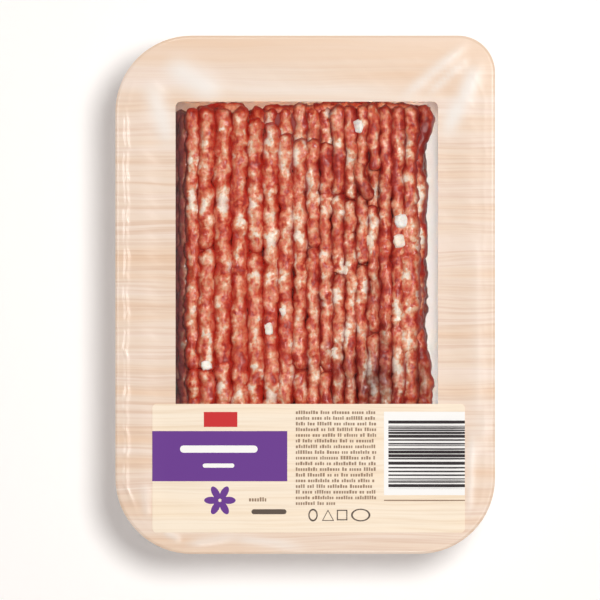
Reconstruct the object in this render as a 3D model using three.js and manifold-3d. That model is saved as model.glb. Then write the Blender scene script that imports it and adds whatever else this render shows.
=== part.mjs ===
// A shop pack of coarse minced meat, lying flat. A white plastic tray with a wide rim holds a
// brick of mince. A clear lid film is sealed to the rim, with one corner left as a peel tab.
// The film carries a printed wood-look layer with a window cut in it, and a label is stuck
// across the near end. Millimetres, +Z up. The origin is under the middle of the tray, on the
// surface that the pack rests on. +X is the right and +Y the far end, seen from the label.
import * as THREE from "three";
import { mergeVertices } from "three/addons/utils/BufferGeometryUtils.js";
import Module from "manifold-3d";

// Driving sizes
const packWidth = 137;
const packLength = 187;
const rimTop = 40;
const cornerRadius = 27.4;
const peelCornerRadius = 13.3;
const cornerSteps = 9;

// Tray: insets are measured inwards from the outline of the lid film
const trayWall = 0.9;
const rimSetback = 0.4;
const rimWidth = 8;
const lipDrop = 2.4;
const ledgeDepth = 6.5;
const ledgeWidth = 2.4;
const wallFootHeight = 8;
const wallFootInset = 18.5;
const floorInset = 24.5;
const footInset = 28.5;
const panelInset = 31;
const panelLift = 0.9;
const floorHeight = 2;
const footSteps = 4;

// Lid film, printed layer, window and label
const filmThickness = 0.25;
const printThickness = 0.2;
const windowLeft = -46.8;
const windowRight = 47.9;
const windowFarEnd = 69.7;
const windowRadius = 2.1;
const labelThickness = 0.25;
const labelLeft = -55.2;
const labelRight = 57.6;
const labelFarEdge = -39.4;
const labelNearEdge = -85.8;
const labelRadius = 1.5;

// Mince: strands run along Y, side by side from the left edge
const meatTop = 34;
const meatFarEnd = 67.6;
const meatNearEnd = -67;
const strandCount = 18;
const firstStrandEdge = -44.8;
const strandWidthMean = 5.12;
const strandWidthSwing = 0.9;
const widestStrand = 1;
const strandWidthCycle = 22;
const strandOverlap = 1.07;
const strandSides = 6;
const strandStep = 7;
const strandSway = 0.55;
const strandThicknessSway = 0.07;
const endRagged = 1.1;
const coreSink = 0.62;

// Strands whose far end stops short, on top of an earlier and lower length: where each one stops
const laidOverEnds = new Map([[4, 64.6], [5, 62.3], [6, 58.7], [7, 56.8], [8, 56.6], [9, 55.4]]);
const stubDrop = 1.8;
const stubTuck = 5;

// Strands that stop part of the way: the end of the far length, and the start of the next one
const strandBreaks = new Map([
  [11, [[35, 33.3]]],
  [12, [[46, 37], [12, 9.6]]],
  [13, [[44.4, 32.6]]],
]);

// One strand end that bends over and lies across its neighbour
const crossingStart = [19, 49, 0];
const crossingBend = [19, 40, 1.6];
const crossingEnd = [23.8, 34.6, 0.4];
const crossingRadius = 2.2;
const crossingSteps = 8;

// The outermost strands slump below the top of the brick, and further ones lie down its sides
const edgeDrops = new Map([[0, 1.1], [strandCount - 2, 0.5], [strandCount - 1, 4.2]]);
const sideRows = 4;
const sideRowHeight = 5.9;
const leftSide = { edge: -44.9, bulge: 0.7, firstCentre: 24.8 };
const rightSide = { edge: 42.6, bulge: 0.4, firstCentre: 23.6 };
const sideRadius = 2.7;
const coreInset = 1.2;
const coreRadius = 7;
const coreFootInset = 4;
const coreLift = 0.3;

const halfWidth = packWidth / 2;
const halfLength = packLength / 2;

// A repeatable number from 0 to 1 for each seed
function chance(seed) {
  const value = Math.sin(seed * 12.9898 + 4.1414) * 43758.5453;
  return value - Math.floor(value);
}

// A smooth wandering value between about -1 and 1 along t, in millimetres
function wander(seed, t) {
  const turns = [0.021, 0.047, 0.083];
  const shares = [0.5, 0.32, 0.18];
  return turns.reduce(
    (sum, turn, k) => sum + shares[k] * Math.sin(2 * Math.PI * (turn * t + chance(seed + 17 * k))),
    0,
  );
}

// Points round a rectangle with its own radius at each corner, anticlockwise from the far right
function roundedOutline(left, right, near, far, radii, steps = cornerSteps) {
  const corners = [[right, far, -1, -1], [left, far, 1, -1], [left, near, 1, 1], [right, near, -1, 1]];
  const points = [];
  corners.forEach(([x, y, inX, inY], k) => {
    const radius = radii[k];
    for (let s = 0; s <= steps; s++) {
      const angle = (k + s / steps) * (Math.PI / 2);
      points.push([
        x + inX * radius + radius * Math.cos(angle),
        y + inY * radius + radius * Math.sin(angle),
      ]);
    }
  });
  return points;
}

// The outline of the pack moved inwards, as one closed ring at a height
function trayRing(inset, height) {
  const radius = Math.max(cornerRadius - inset * 0.75, 5);
  const outline = roundedOutline(
    -halfWidth + inset,
    halfWidth - inset,
    -halfLength + inset,
    halfLength - inset,
    [radius, radius, radius, radius],
  );
  return outline.map(([x, y]) => new THREE.Vector3(x, y, height));
}

// A closed skin through rings of equal length, with a fan of triangles over each end
function loft(rings) {
  const count = rings[0].length;
  const middle = (ring) =>
    ring.reduce((sum, p) => sum.add(p), new THREE.Vector3()).divideScalar(count);
  const points = [...rings.flat(), middle(rings[0]), middle(rings.at(-1))];
  const startHub = rings.length * count;
  const endHub = startHub + 1;
  const lastRing = (rings.length - 1) * count;
  const faces = [];
  for (let i = 0; i < count; i++) {
    const j = (i + 1) % count;
    faces.push(startHub, j, i, endHub, lastRing + i, lastRing + j);
    for (let r = 0; r < rings.length - 1; r++) {
      const a = r * count;
      const b = a + count;
      faces.push(a + i, a + j, b + j, a + i, b + j, b + i);
    }
  }
  return new THREE.BufferGeometry().setFromPoints(points).setIndex(faces);
}

// A flat sheet of an outline, with an optional opening
function sheet(outline, low, thickness, opening) {
  const shape = new THREE.Shape(outline.map(([x, y]) => new THREE.Vector2(x, y)));
  if (opening) {
    shape.holes.push(new THREE.Path(opening.map(([x, y]) => new THREE.Vector2(x, y))));
  }
  const geometry = new THREE.ExtrudeGeometry(shape, { depth: thickness, bevelEnabled: false });
  return geometry.translate(0, 0, low);
}

// The rounded foot of the tray's wall in section, from the wall down to the flat
function footCurve(wallInset, wallHeight, flatInset, flatHeight) {
  return Array.from({ length: footSteps + 1 }, (_, s) => {
    const angle = (s / footSteps) * (Math.PI / 2);
    return [
      flatInset - (flatInset - wallInset) * Math.cos(angle),
      wallHeight - (wallHeight - flatHeight) * Math.sin(angle),
    ];
  });
}

// The tray in section, from the middle of its underside, over the rim and down to its floor
function trayGeometry() {
  const rimInner = rimSetback + rimWidth;
  const ledgeTop = rimTop - ledgeDepth;
  const wallTopInset = rimInner + 1 + ledgeWidth;
  const underRim = rimTop - trayWall;
  const outside = [
    [panelInset, panelLift],
    [footInset, 0],
    ...footCurve(wallFootInset - trayWall, wallFootHeight, floorInset - trayWall, 0).reverse(),
    [wallTopInset - trayWall, ledgeTop - trayWall * 0.6],
    [rimInner + 1 - trayWall, ledgeTop],
    [rimInner - trayWall, underRim],
    [rimSetback + trayWall, underRim],
    [rimSetback + trayWall, rimTop - lipDrop],
  ];
  const inside = [
    [rimSetback, rimTop - lipDrop],
    [rimSetback, rimTop - 0.4],
    [rimSetback + 0.4, rimTop],
    [rimInner - 0.4, rimTop],
    [rimInner, rimTop - 0.4],
    [rimInner + 1, ledgeTop + 0.6],
    [rimInner + 1.4, ledgeTop],
    [wallTopInset, ledgeTop - 0.3],
    ...footCurve(wallFootInset, wallFootHeight, floorInset, floorHeight),
    [panelInset, floorHeight],
  ];
  return loft([...outside, ...inside].map(([inset, height]) => trayRing(inset, height)));
}

function strandWidth(index) {
  const turn = (2 * Math.PI * (index - widestStrand)) / strandWidthCycle;
  return strandWidthMean + strandWidthSwing * Math.cos(turn);
}

// A round strand through its centre points, with a radius for each
function strand(centres, radii) {
  const rings = centres.map((centre, k) => {
    const before = centres[Math.max(k - 1, 0)];
    const after = centres[Math.min(k + 1, centres.length - 1)];
    const along = after.clone().sub(before).normalize();
    const side = new THREE.Vector3(0, 0, 1).cross(along).normalize();
    const up = along.clone().cross(side);
    return Array.from({ length: strandSides }, (_, s) => {
      const angle = (2 * Math.PI * (s + 0.5)) / strandSides;
      return centre
        .clone()
        .addScaledVector(side, radii[k] * Math.cos(angle))
        .addScaledVector(up, radii[k] * Math.sin(angle));
    });
  });
  return loft(rings);
}

// A strand along Y that wanders a little, from one end to the other
function straightStrand(seed, x, z, radius, nearEnd, farEnd) {
  const steps = Math.max(2, Math.round((farEnd - nearEnd) / strandStep));
  const centres = [];
  const radii = [];
  for (let s = 0; s <= steps; s++) {
    const y = nearEnd + ((farEnd - nearEnd) * s) / steps;
    const atEnd = s === 0 || s === steps;
    centres.push(new THREE.Vector3(x + strandSway * wander(seed, y), y, z + 0.3 * wander(seed + 5, y)));
    radii.push(radius * (atEnd ? 0.72 : 1 + strandThicknessSway * wander(seed + 9, 2 * y)));
  }
  return strand(centres, radii);
}

function topStrands() {
  const made = [];
  let edge = firstStrandEdge;
  for (let i = 0; i < strandCount; i++) {
    const width = strandWidth(i);
    const x = edge + width / 2;
    const radius = (width / 2) * strandOverlap;
    const z = meatTop - radius - (edgeDrops.get(i) ?? 0);
    const nearEnd = meatNearEnd + endRagged * chance(i + 40);
    const farEnd = meatFarEnd - endRagged * chance(i + 60);
    if (laidOverEnds.has(i)) {
      const stubStart = laidOverEnds.get(i) - stubTuck;
      made.push(straightStrand(i + 80, x, z - stubDrop, radius, stubStart, farEnd));
    }
    let start = laidOverEnds.get(i) ?? farEnd;
    for (const [farTip, nearTip] of strandBreaks.get(i) ?? []) {
      made.push(straightStrand(i, x, z, radius, farTip, start));
      start = nearTip;
    }
    made.push(straightStrand(i, x, z, radius, nearEnd, start));
    edge += width;
  }
  return made;
}

function sideStrands() {
  return [leftSide, rightSide].flatMap((side, k) =>
    Array.from({ length: sideRows }, (_, row) => {
      const bulge = side.bulge * Math.sin((Math.PI * (row + 0.5)) / sideRows);
      const x = side.edge + Math.sign(side.edge) * bulge - Math.sign(side.edge) * 0.6 * Math.max(0, row - 1);
      const z = side.firstCentre - row * sideRowHeight;
      const seed = 120 + 10 * k + row;
      return straightStrand(seed, x, z, sideRadius, meatNearEnd + chance(seed), meatFarEnd - chance(seed + 3));
    }),
  );
}

function crossingStrand() {
  const level = meatTop - crossingRadius;
  const curve = new THREE.QuadraticBezierCurve3(
    ...[crossingStart, crossingBend, crossingEnd].map(([x, y, rise]) => new THREE.Vector3(x, y, level + rise)),
  );
  const centres = curve.getPoints(crossingSteps);
  const radii = centres.map((_, k) => crossingRadius * (k === 0 || k === crossingSteps ? 0.7 : 1));
  return strand(centres, radii);
}

// The solid middle of the brick, a little inside the strands that cover it
function meatCore() {
  const left = leftSide.edge + coreInset;
  const right = rightSide.edge - coreInset;
  const ring = (inset, height) =>
    roundedOutline(
      left + inset,
      right - inset,
      meatNearEnd + 1.5 + inset,
      meatFarEnd - 2.5 - inset,
      [coreRadius, coreRadius, coreRadius, coreRadius],
      4,
    ).map(([x, y]) => new THREE.Vector3(x, y, height));
  const coreTop = meatTop - strandWidthMean * coreSink;
  const foot = floorHeight + coreLift;
  return loft([ring(coreFootInset, foot), ring(1, foot + 5), ring(0, coreTop - 8), ring(3, coreTop)]);
}

// Plain position-only geometry to a solid, and back
function toSolid(wasm, geometry) {
  const bare = geometry.clone();
  bare.deleteAttribute("normal");
  bare.deleteAttribute("uv");
  const merged = mergeVertices(bare, 1e-4);
  return new wasm.Manifold(
    new wasm.Mesh({
      numProp: 3,
      vertProperties: merged.attributes.position.array,
      triVerts: new Uint32Array(merged.index.array),
    }),
  );
}

function toGeometry(solid) {
  const mesh = solid.getMesh();
  return new THREE.BufferGeometry()
    .setAttribute("position", new THREE.BufferAttribute(mesh.vertProperties, 3))
    .setIndex(new THREE.BufferAttribute(mesh.triVerts, 1));
}

async function meatGeometry() {
  const wasm = await Module();
  wasm.setup();
  const pieces = [meatCore(), ...topStrands(), ...sideStrands(), crossingStrand()];
  return toGeometry(pieces.map((piece) => toSolid(wasm, piece)).reduce((sum, solid) => sum.add(solid)));
}

function named(name, geometry, colour, roughness, extra = {}) {
  geometry.computeVertexNormals();
  const material = new THREE.MeshStandardMaterial({ color: colour, roughness, metalness: 0, ...extra });
  const mesh = new THREE.Mesh(geometry, material);
  mesh.name = name;
  return mesh;
}

const filmOutline = roundedOutline(
  -halfWidth,
  halfWidth,
  -halfLength,
  halfLength,
  [peelCornerRadius, cornerRadius, cornerRadius, cornerRadius],
);
const windowOutline = roundedOutline(
  windowLeft,
  windowRight,
  -windowFarEnd,
  windowFarEnd,
  [windowRadius, windowRadius, windowRadius, windowRadius],
  4,
);
const labelOutline = roundedOutline(
  labelLeft,
  labelRight,
  labelNearEdge,
  labelFarEdge,
  [labelRadius, labelRadius, labelRadius, labelRadius],
  4,
);
const printLow = rimTop + filmThickness;
const labelLow = printLow + printThickness;

const pack = new THREE.Group();
pack.add(
  named("tray", trayGeometry(), "#f2efec", 0.45),
  named("mince", await meatGeometry(), "#c46d59", 0.4),
  named("lid_film", sheet(filmOutline, rimTop, filmThickness), "#f4f4f2", 0.1, { transparent: true, opacity: 0.2 }),
  named("film_print", sheet(filmOutline, printLow, printThickness, windowOutline), "#efd9c3", 0.35),
  named("label", sheet(labelOutline, labelLow, labelThickness), "#fbe9d2", 0.5),
);

export default pack;
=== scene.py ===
import math
import random
from functools import partial

import bmesh
import bpy
import numpy as np
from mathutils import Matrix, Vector, geometry, kdtree


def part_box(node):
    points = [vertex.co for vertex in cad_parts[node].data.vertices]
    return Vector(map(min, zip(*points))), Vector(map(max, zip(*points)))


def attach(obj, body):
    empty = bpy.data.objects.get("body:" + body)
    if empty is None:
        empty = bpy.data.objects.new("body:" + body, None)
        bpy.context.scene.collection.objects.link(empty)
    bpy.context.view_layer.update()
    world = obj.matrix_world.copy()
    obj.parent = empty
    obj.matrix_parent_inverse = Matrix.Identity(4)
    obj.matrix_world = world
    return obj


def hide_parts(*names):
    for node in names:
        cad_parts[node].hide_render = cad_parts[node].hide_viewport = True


# A sealed pack of coarse mince, seen from above. Sizes are in millimetres, in the frame of the CAD.
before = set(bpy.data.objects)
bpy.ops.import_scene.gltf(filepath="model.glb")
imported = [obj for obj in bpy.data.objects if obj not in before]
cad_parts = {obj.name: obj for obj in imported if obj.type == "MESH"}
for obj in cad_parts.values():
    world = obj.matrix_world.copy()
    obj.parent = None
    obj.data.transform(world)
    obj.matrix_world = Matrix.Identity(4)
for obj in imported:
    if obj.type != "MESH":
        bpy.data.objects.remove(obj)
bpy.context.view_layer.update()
mm = 0.001


def boxMm(node):
    return [[value / mm for value in corner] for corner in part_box(node)]


filmLow, filmHigh = boxMm("lid_film")
labelLow, labelHigh = boxMm("label")
printTop, minceFoot = boxMm("film_print")[1][2], boxMm("mince")[0][2]
print("frame loaded")


# Small tools that every piece uses
def linear(hexColour):
    channels = [int(hexColour[at:at + 2], 16) / 255 for at in (1, 3, 5)]
    return tuple(c / 12.92 if c <= 0.04045 else ((c + 0.055) / 1.055) ** 2.4 for c in channels) + (1.0,)


def setInputs(node, inputs):  # an input takes a value, or is linked to a socket or to a node's first output
    for key, source in inputs.items():
        if isinstance(source, bpy.types.Node):
            source = source.outputs[0]
        if isinstance(source, bpy.types.NodeSocket):
            node.id_data.links.new(source, node.inputs[key])
        else:
            node.inputs[key].default_value = source


def addNode(tree, kind, inputs=None, stops=(), **settings):
    made = tree.nodes.new(kind)
    for name, value in settings.items():
        setattr(made, name, value)
    setInputs(made, inputs or {})
    if stops:  # colour stops of a ramp
        ramp = made.color_ramp
        while len(ramp.elements) < len(stops):
            ramp.elements.new(0.5)
        for element, (place, colour) in zip(ramp.elements, stops):
            element.position = place
            element.color = linear(colour)
    return made


def newMaterial(name, values):
    material = bpy.data.materials.new(name)
    material.use_nodes = True
    shader = material.node_tree.nodes["Principled BSDF"]
    setInputs(shader, values)
    return material, partial(addNode, material.node_tree), shader


def newObject(name, data):
    made = bpy.data.objects.new(name, data)
    bpy.context.scene.collection.objects.link(made)
    return made


def meshObject(name, pointsMm, faces, material, smooth=True):
    mesh = bpy.data.meshes.new(name)
    mesh.from_pydata((np.asarray(pointsMm, float) * mm).tolist(), [], faces)
    mesh.materials.append(material)
    mesh.polygons.foreach_set("use_smooth", [smooth] * len(mesh.polygons))
    mesh.set_sharp_from_angle(angle=math.radians(48))
    return newObject(name, mesh)


def faceOutwards(piece):
    work = bmesh.new()
    work.from_mesh(piece.data)
    bmesh.ops.recalc_face_normals(work, faces=work.faces)
    work.to_mesh(piece.data)
    work.free()


def ringSolid(name, rings, material):  # a closed solid through rings that have the same number of points
    count, levels = len(rings[0]), len(rings)
    faces = [(low + k, low + (k + 1) % count, low + count + (k + 1) % count, low + count + k)
             for low in range(0, (levels - 1) * count, count) for k in range(count)]
    faces += [tuple(reversed(range(count))), tuple(range((levels - 1) * count, levels * count))]
    piece = meshObject(name, [point for ring in rings for point in ring], faces, material)
    faceOutwards(piece)
    return piece


def storeValues(mesh, name, values, kind="FLOAT"):
    mesh.attributes.new(name, kind, "POINT").data.foreach_set("value" if kind == "FLOAT" else "vector", values)


def vertexValues(mesh, name):
    values = np.empty(3 * len(mesh.vertices))
    mesh.vertices.foreach_get(name, values)
    return values


def handOver(piece, slot, *nodes):
    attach(piece, "root")
    if nodes:
        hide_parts(*nodes)
    print(piece.name, "made,", len(piece.data.polygons), "faces")


def chance(seed):
    value = math.sin(seed * 12.9898 + 4.1414) * 43758.5453
    return value - math.floor(value)


def wander(seed, t):  # wanders smoothly between about -1 and 1 along t, in millimetres, as in the CAD
    turns = zip((0.021, 0.047, 0.083), (0.5, 0.32, 0.18))
    return sum(share * np.sin(2 * np.pi * (turn * t + chance(seed + 17 * k)))
               for k, (turn, share) in enumerate(turns))


def easeIn(value, low, high):
    t = np.clip((value - low) / (high - low), 0, 1)
    return t * t * (3 - 2 * t)


def roundedOutline(left, right, near, far, radii, steps=16):
    corners = [(right, far, -1, -1), (left, far, 1, -1), (left, near, 1, 1), (right, near, -1, 1)]
    points = []
    for turn, ((x, y, inX, inY), radius) in enumerate(zip(corners, radii)):
        for step in range(steps + 1):
            angle = (turn + step / steps) * math.pi / 2
            points.append((x + inX * radius + radius * math.cos(angle),
                           y + inY * radius + radius * math.sin(angle)))
    return points


# Camera, lights and floor. The photograph looks straight down, with no perspective to be seen.
view = {
    "frameWidth": 216.5,  # what the photograph's frame covers at the lid
    "centre": (-1.9, -1.9), "distance": 2400.0, "sensor": 36.0, "clipEnd": 20000,
}


def makeCamera():
    data = bpy.data.cameras.new("camera")
    data.sensor_width = view["sensor"]
    data.lens = view["sensor"] * view["distance"] / view["frameWidth"]
    data.clip_end = view["clipEnd"] * mm
    camera = newObject("camera", data)
    camera.location = [value * mm for value in (*view["centre"], printTop + view["distance"])]
    bpy.context.scene.camera = camera


light = {
    "key": {
        "towards": (0.19, 0.145, 1.0), "distance": 1500, "size": 425, "strength": 0.72, "colour": "#fffdfb"},
    "sky": 0.31,
    "gloss": [  # soft boxes that only the shine sees: direction, size, brightness
        ((0.24, 0.16, 1.0), 300, 6.0), ((0.26, -0.21, 1.0), 340, 5.0), ((0.50, 0.10, 1.0), 260, 11.0),
        ((-0.46, 0.06, 1.0), 260, 10.0), ((0.06, -0.48, 1.0), 260, 9.0), ((-0.10, 0.50, 1.0), 260, 9.0),
    ],
    "glossDistance": 1200,
    # what shines through the print and the thin walls: strips hidden under the print
    "inner": [
        {"centre": (51.0, 2.0, 38.6), "size": (5, 132), "lean": (0, 0.1), "power": 0.0073, "colour": "#fffaf7"},
        {"centre": (0.0, 73.5, 38.6), "size": (96, 5), "lean": (-0.1, 0), "power": 0.0034, "colour": "#ffc4a2"},
    ],
    "innerSpread": 55,
}
table = {"half": 6000, "height": -0.1, "colour": "#f6f5f3", "tint": "#ffe8e2", "glow": 0.143}


def areaLight(name, towards, distance, size, power, colour="#ffffff"):
    data = bpy.data.lights.new(name, "AREA")
    data.shape = "DISK"
    data.size = size * mm
    data.energy = power
    data.color = linear(colour)[:3]
    lamp = newObject(name, data)
    direction = Vector(towards).normalized()
    lamp.location = direction * distance * mm + Vector((0, 0, printTop * mm))
    lamp.rotation_euler = direction.to_track_quat("Z", "Y").to_euler()
    return lamp


def makeLights():
    key = light["key"]
    steep = Vector(key["towards"]).normalized().z
    # lights flat white to the given strength
    power = key["strength"] * math.pi ** 2 * (key["distance"] * mm) ** 2 / steep
    lamp = areaLight("keyLight", key["towards"], key["distance"], key["size"], power, key["colour"])
    lamp.visible_glossy = False
    for place, (towards, size, brightness) in enumerate(light["gloss"]):
        power = brightness * math.pi * math.pi * (size * mm / 2) ** 2
        lamp = areaLight(f"glossLight{place}", towards, light["glossDistance"], size, power)
        lamp.visible_diffuse = False
    for place, inner in enumerate(light["inner"]):
        lamp = areaLight(f"innerLight{place}", (0, 0, 1), 0, inner["size"][0], inner["power"], inner["colour"])
        lamp.location = Vector(inner["centre"]) * mm
        lamp.rotation_euler = (*inner["lean"], 0)
        lamp.data.shape = "RECTANGLE"
        lamp.data.size_y = inner["size"][1] * mm
        lamp.data.spread = math.radians(light["innerSpread"])
        lamp.visible_glossy = False
    world = bpy.data.worlds.new("studio")
    world.use_nodes = True
    setInputs(world.node_tree.nodes["Background"], {"Color": (1, 1, 1, 1), "Strength": light["sky"]})
    bpy.context.scene.world = world


def makeFloor():
    material, *_ = newMaterial("white table", {
        "Base Color": linear(table["colour"]), "Roughness": 0.9,
        "Emission Color": linear(table["tint"]), "Emission Strength": table["glow"]})
    half, height = table["half"], table["height"]
    corners = [(-half, -half, height), (half, -half, height), (half, half, height), (-half, half, height)]
    floor = meshObject("floor", corners, [(0, 1, 2, 3)], material)


bpy.context.scene.view_settings.view_transform = "Standard"
makeCamera()
makeLights()
makeFloor()
print("camera, lights and floor made")

# The tray: white thermoformed polypropylene, satin, a little translucent.
tray = {
    "halfWidth": filmHigh[0], "halfLength": filmHigh[1], "cornerRadius": 27.4, "leastRadius": 5,
    "rimTop": filmLow[2], "wall": 0.9, "rimSetback": 0.4, "rimWidth": 8, "lipDrop": 2.4,
    "ledgeDepth": 6.5, "ledgeSlope": 1, "ledgeWidth": 2.4,
    "wallFootHeight": 8, "wallFootInset": 18.5, "floorInset": 24.5, "footInset": 28.5,
    "panelInset": 31, "panelMiddle": 37, "panelLift": 0.9, "floorHeight": 2,
    "footSteps": 10, "edgeRadius": 0.4, "innerRadius": 0.6, "bevel": 0.3,
}


def trayPlastic():
    material, add, shader = newMaterial("white polypropylene", {
        "Base Color": linear("#f5f2ef"), "Roughness": 0.38, "IOR": 1.49,
        "Subsurface Weight": 0.6, "Subsurface Scale": 0.002, "Subsurface Radius": (1.0, 0.9, 0.8)})
    place = add("ShaderNodeTexCoord").outputs["Object"]
    # the faint orange peel of a formed sheet, 0.8 mm across
    peel = add("ShaderNodeTexNoise", {"Scale": 1 / (0.8 * mm), "Detail": 2.0, "Vector": place})
    bump = add("ShaderNodeBump", {"Strength": 0.12, "Distance": 0.05 * mm, "Height": peel})
    setInputs(shader, {"Normal": bump})
    return material


def trayRing(inset, height):
    radius = max(tray["cornerRadius"] - inset * 0.75, tray["leastRadius"])
    outline = roundedOutline(-tray["halfWidth"] + inset, tray["halfWidth"] - inset,
                             -tray["halfLength"] + inset, tray["halfLength"] - inset, [radius] * 4, 24)
    return [(x, y, height) for x, y in outline]


def footCurve(wallInset, wallHeight, flatInset, flatHeight):
    angles = [step / tray["footSteps"] * math.pi / 2 for step in range(tray["footSteps"] + 1)]
    return [(flatInset - (flatInset - wallInset) * math.cos(angle),
             wallHeight - (wallHeight - flatHeight) * math.sin(angle)) for angle in angles]


def makeTray():  # a profile of insets and heights, up the outside and down the inside
    t = tray
    wall, bevel, top, setback = t["wall"], t["bevel"], t["rimTop"], t["rimSetback"]
    rimInner, underRim, lipFoot = setback + t["rimWidth"], top - wall, top - t["lipDrop"]
    ledgeTop, ledge = top - t["ledgeDepth"], rimInner + t["ledgeSlope"]
    wallTop = ledge + t["ledgeWidth"]
    edge, inner = t["edgeRadius"], t["innerRadius"]
    turns = (0, 0.5, 1.0, math.pi / 2)
    outer = [
        (t["panelMiddle"], t["panelLift"]), (t["panelInset"], t["panelLift"]), (t["footInset"], 0),
        *reversed(footCurve(t["wallFootInset"] - wall, t["wallFootHeight"], t["floorInset"] - wall, 0)),
        (wallTop - wall, ledgeTop - wall * 0.6),
        (ledge + bevel - wall, ledgeTop - bevel), (ledge - wall, ledgeTop),
        (rimInner - wall, underRim - bevel), (rimInner - wall - bevel, underRim),
        (setback + wall + bevel, underRim), (setback + wall, underRim - bevel), (setback + wall, lipFoot),
    ]
    within = [
        (setback, lipFoot),
        *[(setback + edge * (1 - math.cos(a)), top - edge * (1 - math.sin(a))) for a in turns],
        *[(rimInner - inner * math.cos(a), top - inner * (1 - math.sin(a))) for a in reversed(turns)],
        (ledge, ledgeTop + 0.6), (ledge + 0.4, ledgeTop), (wallTop - 0.6, ledgeTop - 0.1),
        (wallTop, ledgeTop - 0.7),
        *footCurve(t["wallFootInset"], t["wallFootHeight"], t["floorInset"], t["floorHeight"]),
        (t["panelInset"], t["floorHeight"]), (t["panelMiddle"], t["floorHeight"]),
    ]
    piece = ringSolid("trayShell", [trayRing(*place) for place in outer + within], trayPlastic())
    handOver(piece, "tray_plastic", "tray")


makeTray()

# The lid: a clear film, a printed layer with a window, and a label, on one relief of bead, sag and folds.
film = {
    "cornerRadius": 27.4, "peelRadius": 13.3, "sag": 0.45, "sagWidth": 9.0, "rimInner": 8.4,
    "edgeDrop": 0.4, "edgeWidth": 0.8,
    "beadInset": 3.9, "beadSway": 0.45, "beadWidth": 0.85, "beadHeight": 0.24, "ripple": 0.05,
    "window": {"left": -46.8, "right": 47.9, "near": -69.7, "far": 69.7, "radius": 2.1},
    "clearSpacing": 2.2, "clearThickness": 0.12, "clearDrop": 0.05,
    "spacing": 0.45, "coarse": 3, "fineWidth": 9, "thickness": 0.16, "mostHazeAndHighlight": 0.8,
}
# folds in the film, mostly at its corners: start, end, half width, height, and whitish haze, partly where it
# stands off the print and partly a painted highlight
folds = [
    ((35.5, 71.5), (57.0, 89.4), 2.0, 0.26, 0.6), ((44.4, 72.4), (58.0, 84.6), 1.5, 0.18, 0.55),
    ((50.6, 57.0), (63.0, 82.4), 2.8, 0.26, 0.5), ((57.0, 70.0), (60.5, 83.0), 3.2, 0.0, 0.4),
    ((49.5, 58.5), (55.5, 70.5), 3.4, 0.0, 0.4), ((-50.0, 83.2), (-31.0, 72.0), 4.6, 0.3, 0.75),
    ((-56.0, 76.5), (-48.5, 53.5), 3.8, 0.22, 0.7), ((-36.0, 74.0), (44.0, 73.0), 4.0, 0.0, 0.3),
    ((-58.2, -68.0), (-57.2, -80.4), 1.6, 0.26, 0.3), ((-51.0, -85.4), (-45.0, -88.6), 1.4, 0.22, 0.4),
    ((-42.5, -89.8), (-26.0, -87.4), 1.6, 0.24, 0.45), ((-28.0, -87.2), (-1.0, -91.0), 1.7, 0.24, 0.45),
    ((61.4, 22.0), (62.0, -22.0), 2.4, 0.16, 0.1), ((62.2, -14.0), (62.0, -44.0), 2.4, 0.18, 0.14),
    ((66.0, -42.0), (60.0, -58.0), 3.4, 0.2, 0.22), ((59.8, -50.0), (58.9, -78.0), 1.5, 0.14, 0.45),
]


def insetFrom(x, y, radius):  # how far a place is inside the pack's rounded outline
    dx = np.abs(x) - (filmHigh[0] - radius)
    dy = np.abs(y) - (filmHigh[1] - radius)
    outside = np.hypot(np.maximum(dx, 0), np.maximum(dy, 0)) + np.minimum(np.maximum(dx, dy), 0)
    return radius - outside


def filmInset(x, y):  # the same for the film, whose peel corner is squarer
    peel = (x > 0) & (y > 0)
    return np.where(peel, insetFrom(x, y, film["peelRadius"]), insetFrom(x, y, film["cornerRadius"]))


def foldShapes(x, y):  # height, haze with painted highlight and, from 0 to 1, how much each place lies on each fold
    for (startX, startY), (endX, endY), width, tall, hazeAndHighlight in folds:
        runX, runY = endX - startX, endY - startY
        run = math.hypot(runX, runY)
        part = ((x - startX) * runX + (y - startY) * runY) / run ** 2
        across = ((x - startX) * runY - (y - startY) * runX) / run
        ends = easeIn(part, -0.15, 0.3) * (1 - easeIn(part, 0.7, 1.15))
        yield tall, hazeAndHighlight, ends * np.exp(-(across / width) ** 2)


def relief(x, y):
    x, y = np.asarray(x, float), np.asarray(y, float)
    inset = insetFrom(x, y, film["cornerRadius"])
    along = 0.8 * x + y
    height = -film["sag"] * easeIn(inset, film["rimInner"], film["rimInner"] + film["sagWidth"])
    height -= film["edgeDrop"] * (1 - easeIn(filmInset(x, y), 0, film["edgeWidth"]))
    beadAt = film["beadInset"] + film["beadSway"] * wander(7, 2.2 * along)
    # the bead of the seal stands up most along the left side
    leftShare = 0.12 + 0.88 * easeIn(-x, 40, 60) * (1 - easeIn(y, 54, 80)) * easeIn(y, -84, -72)
    beadTall = film["beadHeight"] * leftShare * np.clip(0.9 + 0.5 * wander(8, 3 * along), 0.3, 2)
    height += beadTall * np.exp(-((inset - beadAt) / film["beadWidth"]) ** 2)
    height += film["ripple"] * wander(11, 3 * along) * easeIn(inset, 5, 12) * (1 - easeIn(inset, 14, 26))
    return height + sum(tall * shape for tall, hazeAndHighlight, shape in foldShapes(x, y))


def spaced(outline, spacing):  # the outline with points added, none further apart than spacing
    points = []
    for (x, y), (nextX, nextY) in zip(outline, outline[1:] + outline[:1]):
        parts = max(1, math.ceil(math.hypot(nextX - x, nextY - y) / spacing))
        points += [(x + (nextX - x) * k / parts, y + (nextY - y) * k / parts) for k in range(parts)]
    return points


def inside(x, y, outline):
    result = np.zeros(x.shape, bool)
    for (ax, ay), (bx, by) in zip(outline, outline[1:] + outline[:1]):
        if ay != by:
            result ^= ((ay > y) != (by > y)) & (x < (bx - ax) * (y - ay) / (by - ay) + ax)
    return result


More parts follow.
